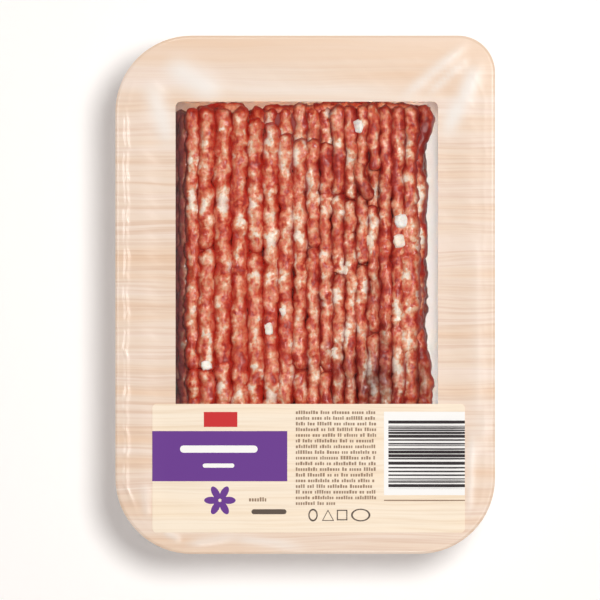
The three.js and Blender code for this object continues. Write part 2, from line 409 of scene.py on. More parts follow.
def layerPiece(name, outline, opening, spacing, top, thickness, material, fineWidth=0):
    loops = [spaced(loop, spacing) for loop in (outline, opening) if loop]
    edges = []
    for loop in loops:
        start = len(edges)
        edges += [(start + k, start + (k + 1) % len(loop)) for k in range(len(loop))]
    rimPoints = [point for loop in loops for point in loop]
    tree = kdtree.KDTree(len(rimPoints))
    for index, (x, y) in enumerate(rimPoints):
        tree.insert((x, y, 0), index)
    tree.balance()
    low, high = np.min(outline, axis=0), np.max(outline, axis=0)
    counts = [np.arange(1, n) for n in (high - low) / spacing]
    columns, rows = [axis.ravel() for axis in np.meshgrid(*counts)]
    xs, ys = low[0] + columns * spacing, low[1] + rows * spacing
    keep = inside(xs, ys, loops[0])
    if opening:
        keep &= ~inside(xs, ys, loops[1])
    if fineWidth:  # full density only near the edge, where the film is creased
        coarse = (columns % film["coarse"] == 0) & (rows % film["coarse"] == 0)
        keep &= (filmInset(xs, ys) < fineWidth) | coarse
    grid = [(x, y) for x, y in zip(xs[keep], ys[keep]) if tree.find((x, y, 0))[2] > 0.5 * spacing]
    flat, _, triangles, *_ = geometry.delaunay_2d_cdt([Vector(p) for p in rimPoints + grid], edges, [], 1, 1e-5)
    x, y = np.array([p.x for p in flat]), np.array([p.y for p in flat])
    corners = np.array(triangles)
    if opening:
        corners = corners[~inside(x[corners].mean(1), y[corners].mean(1), loops[1])]
    a, b, c = corners.T
    turned = (x[b] - x[a]) * (y[c] - y[a]) - (x[c] - x[a]) * (y[b] - y[a]) < 0
    corners[turned] = corners[turned][:, ::-1]
    height = top + relief(x, y)
    points = np.concatenate([np.stack([x, y, z], 1) for z in (height, height - thickness)])
    sides = {}
    for p, q, r in corners.tolist():
        for start, end in ((p, q), (q, r), (r, p)):
            if sides.pop((end, start), None) is None:
                sides[(start, end)] = True
    count = len(x)
    faces = corners.tolist() + (corners[:, ::-1] + count).tolist()
    faces += [(start, start + count, end + count, end) for start, end in sides]
    return meshObject(name, points, faces, material)


def clearFilm():
    # polyester film: clear, mirror smooth, with a little shine over what lies below
    material, add, shader = newMaterial("clear polyester film", {})
    nodes = material.node_tree.nodes
    nodes.remove(shader)
    gloss = add("ShaderNodeBsdfGlossy", {"Color": (1, 1, 1, 1), "Roughness": 0.12})
    clear = add("ShaderNodeBsdfTransparent", {"Color": (0.995, 0.993, 0.99, 1)})
    # only the outer face shines: seen from within, the film lets all light out
    fresnel = add("ShaderNodeFresnel", {"IOR": 1.25})
    backfacing = add("ShaderNodeNewGeometry").outputs["Backfacing"]
    facing = add("ShaderNodeMath", {0: 1.0, 1: backfacing}, operation="SUBTRACT")
    shine = add("ShaderNodeMath", {0: fresnel, 1: facing}, operation="MULTIPLY")
    both = add("ShaderNodeMixShader", {0: shine, 1: clear, 2: gloss})
    setInputs(nodes["Material Output"], {"Surface": both})
    return material


def woodPrint(name, pale, base, streak, warm, extra):
    # reverse printed film: ink grain lines 1 to 3 mm apart under a satin gloss
    material, add, shader = newMaterial(name, {
        "Roughness": 0.4, "IOR": 1.5, "Coat Weight": 0.8, "Coat Roughness": 0.19, "Coat IOR": 1.5, **extra})
    place = add("ShaderNodeTexCoord").outputs["Object"]
    # the grain wanders a millimetre or two up and down along its length
    slow = add("ShaderNodeMapping", {"Scale": (24, 60, 1), "Vector": place})
    drift = add("ShaderNodeTexNoise", {"Scale": 1.0, "Detail": 1.0, "Vector": slow})
    lift = add("ShaderNodeVectorMath", {0: drift, 1: (0, 3.2 * mm, 0)}, operation="MULTIPLY")
    moved = add("ShaderNodeVectorMath", {0: place, 1: lift}, operation="ADD")
    noises = []
    grain = (((11, 720, 1), (0, 0, 0), 4.0, 0.68), ((10, 170, 1), (3, 1, 0), 2.0, 0.5))
    for scale, shift, detail, rough in grain:
        drawnOut = add("ShaderNodeMapping", {"Scale": scale, "Location": shift, "Vector": moved})
        noises.append(add("ShaderNodeTexNoise", {
            "Scale": 1.0, "Detail": detail, "Roughness": rough, "Vector": drawnOut}))
    fine, broad = noises
    lines = add("ShaderNodeMapRange", {0: fine, 1: 0.54, 2: 0.35})
    bands = add("ShaderNodeValToRGB", {0: broad}, stops=[(0.28, warm), (0.5, base), (0.72, pale)])
    # the far end is a board of its own, with fainter lines and more orange at the rim
    along = add("ShaderNodeSeparateXYZ", {0: moved}).outputs[1]
    strength = add("ShaderNodeMapRange", {0: along, 1: 64 * mm, 2: 74 * mm, 3: 0.42, 4: 0.18})
    weight = add("ShaderNodeMath", {0: lines, 1: strength}, operation="MULTIPLY")
    farBoard = add("ShaderNodeMapRange", {0: along, 1: 83.5 * mm, 2: 87 * mm, 3: 0.0, 4: 0.6})
    hazeAndHighlight = add("ShaderNodeAttribute", attribute_name="hazeAndHighlight").outputs["Fac"]
    colour = bands
    # painted highlight: along the folds the print is mixed towards a whitish colour, partly haze where the film
    # stands off it
    for share, ink in ((weight, streak), (farBoard, warm), (hazeAndHighlight, "#f6f0ea")):
        mixed = add("ShaderNodeMix", {0: share, 6: colour, 7: linear(ink)}, data_type="RGBA")
        colour = mixed.outputs[2]
    setInputs(shader, {"Base Color": colour})
    return material


def makeLid():
    window = film["window"]
    outline = roundedOutline(filmLow[0], filmHigh[0], filmLow[1], filmHigh[1],
                             [film["peelRadius"]] + [film["cornerRadius"]] * 3)
    opening = roundedOutline(window["left"], window["right"], window["near"], window["far"],
                             [window["radius"]] * 4, 6)
    clear = layerPiece("clearFilm", outline, None, film["clearSpacing"], filmHigh[2] - film["clearDrop"],
                       film["clearThickness"], clearFilm())
    handOver(clear, "clear_film", "lid_film")
    wood = woodPrint("film printed as pale wood", "#f3decf", "#efd7c2", "#cf9f7a", "#edccaf", {})
    printed = layerPiece("printedFilm", outline, opening, film["spacing"], printTop, film["thickness"], wood,
                         film["fineWidth"])
    x, y, _ = vertexValues(printed.data, "co").reshape(-1, 3).T / mm
    # the whitish haze and painted highlight of the folds, for the print's colour
    hazeAndHighlight = sum(hazeAndHighlight * shape for tall, hazeAndHighlight, shape in foldShapes(x, y))
    storeValues(printed.data, "hazeAndHighlight", np.clip(hazeAndHighlight, 0, film["mostHazeAndHighlight"]))
    handOver(printed, "printed_film", "film_print")


makeLid()

# The label: semi-gloss paper with fields of colour, rows of small bars and a stripe code.
label = {
    "radius": 1.5, "spacing": 2.5, "thickness": 0.22, "seed": 11,
    "inkHeight": 0.03, "fieldHeight": 0.04, "fieldSpacing": 3.0,
    # left, right, near, far
    "purpleField": (-55.2, -6.5, -67.3, -49.2), "redField": (-36.6, -24.5, -47.7, -42.3),
    "codeField": (28.4, 57.6, -72.3, -42.2), "codeLine": (28.4, 57.6, -74.4, -74.0),
    "whiteBars": [(-45.2, -17.2, -57.0, -54.4), (-37.0, -25.6, -62.4, -60.9)],
    "weightBar": (-19.4, -6.8, -79.2, -77.4),
    "stripes": (30.0, 57.6, -70.0, -45.4, 0.27),  # and the width of one module
    # left, right, far, number of rows, pitch, height
    "smallPrint": [(-3.4, 25.6, -41.8, 17, 2.05, 1.25), (-20.3, -6.6, -73.1, 1, 2.0, 1.5)],
    "dashGap": 0.3, "wordGap": 0.7, "signWidth": 0.55,
    "rosette": (-30.8, -74.2), "petals": 6, "petal": (3.1, 0, 2.6, 1.3),
}


def inkMaterial(name, colour):
    # label ink under a thin varnish
    material, *_ = newMaterial(name, {"Base Color": linear(colour), "Roughness": 0.5, "Coat Weight": 0.3,
                                      "Coat Roughness": 0.15, "Specular IOR Level": 0.2})
    return material


def rectangle(left, right, near, far):
    return [(right, far), (left, far), (left, near), (right, near)]


def inkPlates(name, outlines, level, material):  # flat closed plates of ink, lying on the label
    points, faces = [], []
    thickness = label["inkHeight"]
    for outline in outlines:
        start, count = len(points), len(outline)
        height = labelHigh[2] + level * thickness + relief(*np.array(outline).T)
        for drop in (0, thickness):
            points += [(x, y, z - drop) for (x, y), z in zip(outline, height)]
        faces.append(tuple(range(start, start + count)))
        faces.append(tuple(reversed(range(start + count, start + 2 * count))))
        for k in range(count):
            after = (k + 1) % count
            faces.append((start + k, start + count + k, start + count + after, start + after))
    piece = meshObject(name, points, faces, material, smooth=False)
    handOver(piece, "label_paper")


def textRows(left, right, far, rows, pitch, height, draw):  # rows of short dashes in the place of small print
    dashes = []
    for row in range(rows):
        y = far - row * pitch
        x = left
        end = right if row < rows - 1 else left + (right - left) * 0.5
        while x < end:
            for _ in range(draw.randint(2, 9)):
                width = draw.uniform(0.45, 0.75)
                if x + width > end:
                    break
                tall = height * draw.choice((0.75, 0.75, 1.0))
                dashes.append(rectangle(x, x + width, y - height, y - height + tall))
                x += width + label["dashGap"]
            x += label["wordGap"]
    return dashes


def stripeCode(left, right, near, far, module, draw):  # stripes of random width, which say nothing
    stripes = []
    y = far
    while y > near:
        width = module * draw.choice((1, 2, 2, 3, 4))
        stripes.append(rectangle(left, right, max(near, y - width), y))
        y -= width + module * draw.choice((1, 1, 1, 2, 3))
    return stripes


def frameMarks(outline, width):  # the outline of a sign, as one small plate for each of its sides
    centre = np.mean(outline, axis=0)
    reach = np.mean(np.hypot(*(np.array(outline) - centre).T))
    inner = [tuple(centre + (np.array(point) - centre) * (1 - width / reach)) for point in outline]
    count = len(outline)
    return [[outline[k], outline[(k + 1) % count], inner[(k + 1) % count], inner[k]] for k in range(count)]


def disc(x, y, radiusX, radiusY, steps=24):
    angles = [2 * math.pi * k / steps for k in range(steps)]
    return [(x + radiusX * math.cos(angle), y + radiusY * math.sin(angle)) for angle in angles]


def rosettePetals():
    (centreX, centreY), petal = label["rosette"], disc(*label["petal"], 20)
    turns = [2 * math.pi * k / label["petals"] for k in range(label["petals"])]
    return [[(centreX + x * math.cos(turn) - y * math.sin(turn),
              centreY + x * math.sin(turn) + y * math.cos(turn)) for x, y in petal] for turn in turns]


def roundedBar(left, right, near, far):
    return roundedOutline(left, right, near, far, [(far - near) / 2] * 4, 6)


def makeLabel():
    draw = random.Random(label["seed"])
    outline = roundedOutline(labelLow[0], labelHigh[0], labelLow[1], labelHigh[1], [label["radius"]] * 4, 6)
    paper = woodPrint("label paper printed as pale wood", "#fbecd7", "#fbe9d1", "#e2c4a0", "#f9e3c5", {
        "Coat Weight": 0.35, "Coat Roughness": 0.25})
    top = labelHigh[2]
    piece = layerPiece("labelPaper", outline, None, label["spacing"], top - 0.03, label["thickness"], paper)
    handOver(piece, "label_paper", "label")
    purple, red, white, brown, black, darkBrown = [inkMaterial(f"{name} ink", colour) for name, colour in (
        ("purple", "#6a3690"), ("red", "#cf2a2c"), ("white", "#fdfbf8"), ("brown", "#9a7f68"),
        ("black", "#2c2426"), ("dark brown", "#5d4f45"))]
    for name, ink in (("purpleField", purple), ("redField", red), ("codeField", white)):
        piece = layerPiece(name, rectangle(*label[name]), None, label["fieldSpacing"], top + 0.02,
                           label["fieldHeight"], ink)
        handOver(piece, "label_paper")
    inkPlates("whiteBars", [roundedBar(*bar) for bar in label["whiteBars"]], 1.6, white)
    dashes = [dash for rows in label["smallPrint"] for dash in textRows(*rows, draw)]
    inkPlates("smallPrint", dashes + [rectangle(*label["codeLine"])], 1, brown)
    inkPlates("stripeCode", stripeCode(*label["stripes"], draw), 1.6, black)
    inkPlates("rosette", rosettePetals(), 1, purple)
    inkPlates("weightBar", [roundedBar(*label["weightBar"])], 1, darkBrown)
    signs = [disc(2.8, -79.5, 1.7, 2.3), [(10.4, -81.6), (8.2, -77.5), (6.0, -81.6)],
             rectangle(11.4, 15.2, -81.4, -77.6), disc(20.0, -79.5, 3.5, 2.3)]
    plates = [plate for sign in signs for plate in frameMarks(sign, label["signWidth"])]
    inkPlates("packSigns", plates, 1, darkBrown)


makeLabel()

# The mince: strands along Y over a core, as in the CAD, with lumps, and pieces of fat set into them.
mince = {
    "top": 34, "farEnd": 67.6, "nearEnd": -67, "count": 18, "firstEdge": -44.8,
    "widthMean": 5.12, "widthSwing": 0.9, "widest": 1, "widthCycle": 22, "overlap": 1.18,
    "ragged": 1.1, "coreSink": 0.62, "stubDrop": 2.7, "stubTuck": 5, "stubGrowth": 1.1,
    "sway": 0.55, "fineSway": 0.36, "rise": 0.3, "swelling": 0.08, "fineSwelling": 0.1, "tipShare": 0.012,
    "laidOverEnds": {4: 64.6, 5: 62.3, 6: 58.7, 7: 56.8, 8: 56.6, 9: 55.4},
    # where a strand stops and where it starts again, which may lie a little over the part that stops
    "breaks": {0: [(-27.4, -26.4)], 1: [(15.9, 17.2), (-27.8, -26.6)], 4: [(14.6, 15.8)], 7: [(-27.8, -27.0)],
               8: [(16.4, 17.6)], 9: [(-28.2, -27.4)], 10: [(35.6, 36.8), (6.8, 8.0)], 11: [(34.2, 34.8)],
               12: [(46, 37), (10.6, 11.2)], 13: [(44.4, 32.6), (-14.4, -13.4)]},
    "edgeDrops": {0: 1.1, 16: 0.5, 17: 2.4},
    "sideRows": 4, "sideRowHeight": 5.9, "sideRadius": 2.7, "sideTaper": 0.6,
    "sides": [(-44.9, 0.7, 24.8), (41.2, 0.4, 23.6)],  # place across, bulge, height of the top row
    "loose": [  # short lengths over the others: three points of a curve, radius, length of the tapered ends
        ((18.4, 51, 29.6), (18.8, 41.4, 34.4), (24.4, 34.6, 31.8), 2.6, 2.6),
        ((37.6, 37, 29.4), (38.0, 4, 29.7), (37.0, -28, 29.4), 4.6, 13),
        ((-40, 65.2, 27.0), (-31, 69.0, 27.8), (-21, 66.4, 27.4), 2.4, 3),
        ((-15, 67.4, 27.0), (-5, 65.6, 28.0), (5, 67.4, 27.4), 2.2, 3),
        ((2, 66.8, 28.0), (16, 69.0, 28.4), (27, 67.0, 27.8), 2.4, 3),
        ((24, 68.0, 27.6), (34, 68.2, 28.2), (43, 65.8, 27.2), 2.2, 3),
        ((-43.2, 66, 26.8), (-43.6, 0, 26.4), (-43.2, -66, 26.8), 2.9, 3),  # the slope beside the first strand
    ],
    "narrowed": {0: (1.0, 0.76)},  # the part of a strand that shows: shift, share of its radius
    "outerEdge": (  # of the last strand: places along and across
        [-67, -42, -33, -24, -18, -9, 2, 9, 22, 29, 36, 47, 52, 60, 64, 68],
        [44.4, 45.8, 46.5, 45.4, 44.2, 42.6, 43.5, 43.1, 44.6, 43.1, 44.9, 43.0, 43.5, 46.4, 46.9, 45.8]),
    "pointSpacing": 1.2, "farGrowth": (0.9, 2.1), "growFrom": 4,
    "shortened": {4: 0.9, 5: 1.3, 6: 0.9, 8: 1.2, 9: 0.9},
}


def strandWidth(index):
    turn = 2 * math.pi * (index - mince["widest"]) / mince["widthCycle"]
    return mince["widthMean"] + mince["widthSwing"] * math.cos(turn)


def tipShape(fromEnd, taper):  # how much of its thickness a strand has near its end
    part = np.clip(fromEnd / taper, mince["tipShare"], 1)
    return np.sqrt(1 - (1 - part) ** 2)


def alongStrand(start, end, taper):  # places along a strand, close together where its tips are rounded
    tip = taper * (1 - np.cos(np.linspace(0, math.pi / 2, 8)[:-1]))
    count = max(2, round((end - start - 2 * taper) / mince["pointSpacing"]))
    return np.concatenate([start + tip, np.linspace(start + taper, end - taper, count), end - tip[::-1]])


def strandPath(seed, x, z, radius, nearEnd, farEnd):
    y = alongStrand(nearEnd, farEnd, min(radius, 0.45 * (farEnd - nearEnd)))
    thick = radius * (1 + mince["swelling"] * wander(seed + 9, 2 * y)
                      + mince["fineSwelling"] * wander(seed + 21, 6 * y))
    thick = thick * tipShape(np.minimum(y - nearEnd, farEnd - y), radius)
    sway = mince["sway"] * wander(seed, y) + mince["fineSway"] * wander(seed + 33, 4 * y)
    if seed == mince["count"] - 1:
        sway = np.interp(y, *mince["outerEdge"]) - radius - x
    rise = mince["rise"] * wander(seed + 5, y)
    return np.stack([x + sway, y, z + rise, thick, np.full(len(y), radius)], 1), seed


def topPaths():
    made, edge = [], mince["firstEdge"]
    for i in range(mince["count"]):
        width = strandWidth(i)
        shift, share = mince["narrowed"].get(i, (0, 1))
        x, radius = edge + width / 2 + shift, width / 2 * mince["overlap"] * share
        z = mince["top"] - radius - mince["edgeDrops"].get(i, 0)
        nearEnd = mince["nearEnd"] + mince["ragged"] * chance(i + 40)
        farEnd = mince["farEnd"] + mince["farGrowth"][i >= mince["growFrom"]] - mince["ragged"] * chance(i + 60)
        farEnd -= mince["shortened"].get(i, 0)
        start = mince["laidOverEnds"].get(i, farEnd)
        low, tuck = z - mince["stubDrop"], mince["stubTuck"]
        if i in mince["laidOverEnds"]:
            made.append(strandPath(i + 80, x, low, radius, start - tuck, farEnd))
        for farTip, nearTip in mince["breaks"].get(i, []):
            made.append(strandPath(i, x, z, radius, farTip, start))
            made.append(strandPath(i + 60, x, low, radius * mince["stubGrowth"], nearTip - tuck, farTip + tuck))
            start = nearTip
        made.append(strandPath(i, x, z, radius, nearEnd, start))
        edge += width
    return made + [loosePath(77 + place, *piece) for place, piece in enumerate(mince["loose"])]


def loosePath(seed, start, bend, end, radius, taper):
    length = math.dist(start, bend) + math.dist(bend, end)
    run = alongStrand(0, length, taper)
    t = (run / length)[:, None]
    points = np.array(start) * (1 - t) ** 2 + np.array(bend) * 2 * t * (1 - t) + np.array(end) * t ** 2
    thick = radius * (1 + 0.06 * wander(seed, 6 * run)) * tipShape(np.minimum(run, length - run), taper)
    return np.concatenate([points, thick[:, None], np.full((len(run), 1), radius)], 1), seed


def sidePaths():
    made = []
    for side, (edge, bulge, firstCentre) in enumerate(mince["sides"]):
        outwards = math.copysign(1, edge)
        for row in range(mince["sideRows"]):
            swell = bulge * math.sin(math.pi * (row + 0.5) / mince["sideRows"])
            x = edge + outwards * swell - outwards * mince["sideTaper"] * max(0, row - 1)
            seed = 120 + 10 * side + row
            made.append(strandPath(seed, x, firstCentre - row * mince["sideRowHeight"], mince["sideRadius"],
                                   mince["nearEnd"] + chance(seed), mince["farEnd"] - chance(seed + 3)))
    return made


def mottle(add, colour, place, size, darkest, palest):  # the noise, and the colour shaded by it
    noise = add("ShaderNodeTexNoise", {"Scale": 1 / (size * mm), "Detail": 2.0, "Vector": place})
    shade = add("ShaderNodeMapRange", {0: noise, 1: 0.3, 2: 0.7, 3: darkest, 4: palest})
    return noise, add("ShaderNodeVectorMath", {0: colour, "Scale": shade}, operation="SCALE")


def rawMince():
    # raw beef and pork, ground coarse: soft-edged grains 2 to 4 mm long, wet, with a painted shade of deep red
    # where strands meet
    material, add, shader = newMaterial("raw mince", {
        "Roughness": 0.34, "IOR": 1.42, "Coat Weight": 0.6, "Coat Roughness": 0.1,
        "Subsurface Weight": 0.12, "Subsurface Scale": 0.0014, "Subsurface Radius": (1.0, 0.35, 0.22)})
    place = add("ShaderNodeAttribute", attribute_name="meatPlace").outputs["Vector"]
    crown, fatHere, dull = [add("ShaderNodeAttribute", attribute_name=name).outputs["Fac"]
                            for name in ("crown", "fat", "dull")]
    stir = add("ShaderNodeTexNoise", {"Scale": 1 / (2.0 * mm), "Detail": 1.0, "Vector": place}).outputs[1]
    push = add("ShaderNodeVectorMath", {0: stir, 1: (1.6 * mm,) * 3}, operation="MULTIPLY")
    stirred = add("ShaderNodeVectorMath", {0: place, 1: push}, operation="ADD")
    stretched = add("ShaderNodeMapping", {"Scale": (1, 0.62, 1), "Vector": stirred})
    grains = add("ShaderNodeTexVoronoi", {"Scale": 1 / (2.3 * mm), "Smoothness": 0.45, "Vector": stretched},
                 feature="SMOOTH_F1")
    flow = add("ShaderNodeTexNoise", {
        "Scale": 1 / (1.9 * mm), "Detail": 2.0, "Roughness": 0.5, "Vector": stretched})
    region = add("ShaderNodeTexNoise", {"Scale": 1 / (9 * mm), "Detail": 1.0, "Vector": place})
    # how pale a grain is: by its cell, by streaks running through it, by the region and by the fat in it
    paleness = -1.27
    for source, share in ((grains.outputs["Color"], 0.6), (flow, 1.6), (region, 1.15), (fatHere, 0.56)):
        paleness = add("ShaderNodeMath", {0: source, 1: share, 2: paleness}, operation="MULTIPLY_ADD")
    colours = add("ShaderNodeValToRGB", {0: paleness}, stops=[
        (0.0, "#aa2416"), (0.22, "#cc4229"), (0.4, "#df6c49"), (0.56, "#ea8d68"), (0.72, "#f3af8b"),
        (0.86, "#fbd2b3"), (1.0, "#ffeddb")])
    noise, mottled = mottle(add, colours, place, 0.9, 0.82, 1.04)
    # painted shade: towards its flanks, where strands meet, each strand is mixed towards the grooves' deep red
    side = add("ShaderNodeMapRange", {0: crown, 1: 0.94, 2: 0.58, 3: 0.0, 4: 0.9})
    whole = add("ShaderNodeSeparateXYZ", {0: add("ShaderNodeTexCoord").outputs["Object"]}).outputs
    # painted shade: the grooves are a deeper red, darker still in the right half, and what lies deep is
    # darkened
    across = add("ShaderNodeMapRange", {0: whole[0], 1: -12 * mm, 2: 6 * mm, 3: 0.0, 4: 1.0})
    grooveShade = add("ShaderNodeMix", {0: across, 6: linear("#b8200f"), 7: linear("#9a1b11")}, data_type="RGBA")
    # painted shade: the lower a place lies in the heap, the darker it is coloured
    depthShade = add("ShaderNodeMapRange", {0: whole[2], 1: 30.9 * mm, 2: 26.0 * mm, 3: 0.0, 4: 1.0})
    # painted shade: the meat sloping down the left side is mixed towards a dark grey
    leftSlopeShade = add("ShaderNodeMapRange", {0: whole[0], 1: -42.2 * mm, 2: -44.6 * mm, 3: 0.0, 4: 0.5})
    colour = mottled
    for share, tint, blend in ((side, grooveShade.outputs[2], "MIX"), (depthShade, linear("#966058"), "MULTIPLY"),
                               (dull, linear("#826a70"), "MULTIPLY"), (leftSlopeShade, linear("#68565b"), "MIX")):
        mixed = add("ShaderNodeMix", {0: share, 6: colour, 7: tint}, data_type="RGBA", blend_type=blend)
        colour = mixed.outputs[2]
    bump = add("ShaderNodeBump", {"Strength": 0.35, "Distance": 0.25 * mm, "Height": noise})
    setInputs(shader, {"Base Color": colour, "Normal": bump})
    return material


def deepMeat():
    # the inside of the heap, seen only through gaps: dark, moist
    material, *_ = newMaterial("mince in shade", {"Base Color": linear("#8a1d13"), "Roughness": 0.45})
    return material


def newTree(name, settings):  # a geometry tree whose named inputs start from the settings
    tree = bpy.data.node_groups.new(name, "GeometryNodeTree")
    tree.interface.new_socket(name="Geometry", in_out="INPUT", socket_type="NodeSocketGeometry")
    for key, value in settings.items():
        kind = "Int" if isinstance(value, int) else "Float" if isinstance(value, float) else "Material"
        socket = tree.interface.new_socket(name=key, in_out="INPUT", socket_type="NodeSocket" + kind)
        socket.default_value = value
    tree.interface.new_socket(name="Geometry", in_out="OUTPUT", socket_type="NodeSocketGeometry")
    add = partial(addNode, tree)
    return tree, add, add("NodeGroupInput").outputs, add("NodeGroupOutput")


def lumps(add, place, size, tall, detail):  # heights of a noise about its mean
    scale = add("ShaderNodeMath", {0: 1.0, 1: size}, operation="DIVIDE")
    noise = add("ShaderNodeTexNoise", {"Detail": detail, "Vector": place, "Scale": scale})
    middle = add("ShaderNodeMath", {0: noise, 1: 0.5}, operation="SUBTRACT")
    stronger = add("ShaderNodeMath", {0: middle, 1: 3.0}, operation="MULTIPLY")
    return add("ShaderNodeMath", {0: stronger, 1: tall}, operation="MULTIPLY")


def finishTree(add, shape, height, material, output):  # pushes the surface out by a height and makes it real
    normal = add("GeometryNodeInputNormal")
    offset = add("ShaderNodeVectorMath", {0: normal, "Scale": height}, operation="SCALE")
    lumpy = add("GeometryNodeSetPosition", {"Geometry": shape, "Offset": offset})
    smooth = add("GeometryNodeSetShadeSmooth", {0: lumpy})
    real = add("GeometryNodeRealizeInstances", {0: smooth})
    setInputs(output, {0: add("GeometryNodeSetMaterial", {"Geometry": real, "Material": material})})


def strandTree(settings):
    tree, add, given, output = newTree("strandTree", settings)
    curve = add("GeometryNodeMeshToCurve", {0: given["Geometry"]})
    rounded = add("GeometryNodeCurveSplineType", {0: curve}, spline_type="CATMULL_ROM")
    rings = add("GeometryNodeResampleCurve", {"Curve": rounded, "Length": given["Ring Spacing"]}, mode="LENGTH")
    position = add("GeometryNodeInputPosition")
    centred = add("GeometryNodeStoreNamedAttribute", {
        "Geometry": rings, "Name": "strandCentre", "Value": position}, data_type="FLOAT_VECTOR")
    centre = add("GeometryNodeInputNamedAttribute", {"Name": "strandCentre"}, data_type="FLOAT_VECTOR")
    seed, thickness, full = [add("GeometryNodeInputNamedAttribute", {"Name": name})
                             for name in ("strandSeed", "strandRadius", "fullRadius")]
    profile = add("GeometryNodeCurvePrimitiveCircle", {"Radius": 1.0, "Resolution": given["Sides"]})
    tube = add("GeometryNodeCurveToMesh", {
        "Fill Caps": True, "Curve": centred, "Profile Curve": profile, "Scale": thickness})
    # each strand has its own place in the grain patterns
    fromCentre = add("ShaderNodeVectorMath", {0: position, 1: centre}, operation="SUBTRACT")
    alongOnly = add("ShaderNodeVectorMath", {0: centre, 1: (1, 1, 0)}, operation="MULTIPLY")
    own = add("ShaderNodeVectorMath", {0: (0.0271, 0.0137, 0.0193), "Scale": seed}, operation="SCALE")
    partly = add("ShaderNodeVectorMath", {0: fromCentre, 1: alongOnly}, operation="ADD")
    place = add("ShaderNodeVectorMath", {0: partly, 1: own}, operation="ADD")
    height = add("ShaderNodeSeparateXYZ", {0: fromCentre}).outputs[2]
    crown = add("ShaderNodeMath", {0: height, 1: full}, operation="DIVIDE")
    shape = tube
    for name, value, kind in (("meatPlace", place, "FLOAT_VECTOR"), ("crown", crown, "FLOAT")):
        shape = add("GeometryNodeStoreNamedAttribute", {"Geometry": shape, "Name": name, "Value": value},
                    data_type=kind)
    coarse = lumps(add, place, given["Lump Size"], given["Lump Height"], 1.0)
    fibres = lumps(add, place, given["Fibre Size"], given["Fibre Height"], 2.0)
    scale = add("ShaderNodeMath", {0: 1.0, 1: given["Grain Size"]}, operation="DIVIDE")
    stretched = add("ShaderNodeVectorMath", {0: place, 1: (1, 0.6, 1)}, operation="MULTIPLY")
    cells = add("ShaderNodeTexVoronoi", {"Smoothness": 0.35, "Vector": stretched, "Scale": scale},
                feature="SMOOTH_F1")
    dome = add("ShaderNodeMath", {0: 0.45, 1: cells.outputs["Distance"]}, operation="SUBTRACT")
    grains = add("ShaderNodeMath", {0: dome, 1: given["Grain Height"]}, operation="MULTIPLY")
    some = add("ShaderNodeMath", {0: coarse, 1: fibres}, operation="ADD")
    every = add("ShaderNodeMath", {0: some, 1: grains}, operation="ADD")
    finishTree(add, shape, every, given["Material"], output)
    return tree


def evaluate(piece, tree, settings):  # runs the tree on the piece and keeps the plain mesh that comes out
    modifier = piece.modifiers.new(tree.name, "NODES")
    modifier.node_group = tree
    identifiers = {item.name: item.identifier for item in tree.interface.items_tree if item.in_out == "INPUT"}
    for name, value in settings.items():
        modifier[identifiers[name]] = value
    depsgraph = bpy.context.evaluated_depsgraph_get()
    mesh = bpy.data.meshes.new_from_object(piece.evaluated_get(depsgraph), preserve_all_data_layers=True,
                                           depsgraph=depsgraph)
    piece.modifiers.clear()
    piece.data = mesh


def pathObject(name, paths):
    points = np.concatenate([path for path, seed in paths])
    edges, seeds, start = [], [], 0
    for path, seed in paths:
        edges += [(start + k, start + k + 1) for k in range(len(path) - 1)]
        seeds += [float(seed)] * len(path)
        start += len(path)
    mesh = bpy.data.meshes.new(name)
    mesh.from_pydata((points[:, :3] * mm).tolist(), edges, [])
    storeValues(mesh, "strandRadius", points[:, 3] * mm)
    storeValues(mesh, "fullRadius", points[:, 4] * mm)
    storeValues(mesh, "strandSeed", seeds)
    return newObject(name, mesh)


def makeStrands(meat):
    settings = {"Material": meat, "Ring Spacing": 0.55 * mm, "Sides": 28,
                "Lump Size": 4.6 * mm, "Lump Height": 0.4 * mm,
                "Grain Size": 2.5 * mm, "Grain Height": 1.15 * mm,
                "Fibre Size": 1.1 * mm, "Fibre Height": 0.1 * mm}
    tree = strandTree(settings)
    paths = topPaths()
    middle = sum(1 for path, seed in paths if path[:, 0].mean() < 0)
    paths.sort(key=lambda made: made[0][:, 0].mean())
    for name, group in (("leftStrands", paths[:middle]), ("rightStrands", paths[middle:])):
        piece = pathObject(name, group)
        evaluate(piece, tree, settings)
        layFat(piece)
        faceOutwards(piece)
        handOver(piece, "raw_mince", "mince")
    sides = pathObject("sideStrands", sidePaths())
    evaluate(sides, tree, {**settings, "Ring Spacing": 1.2 * mm, "Sides": 14})
    faceOutwards(sides)
    handOver(sides, "raw_mince", "mince")


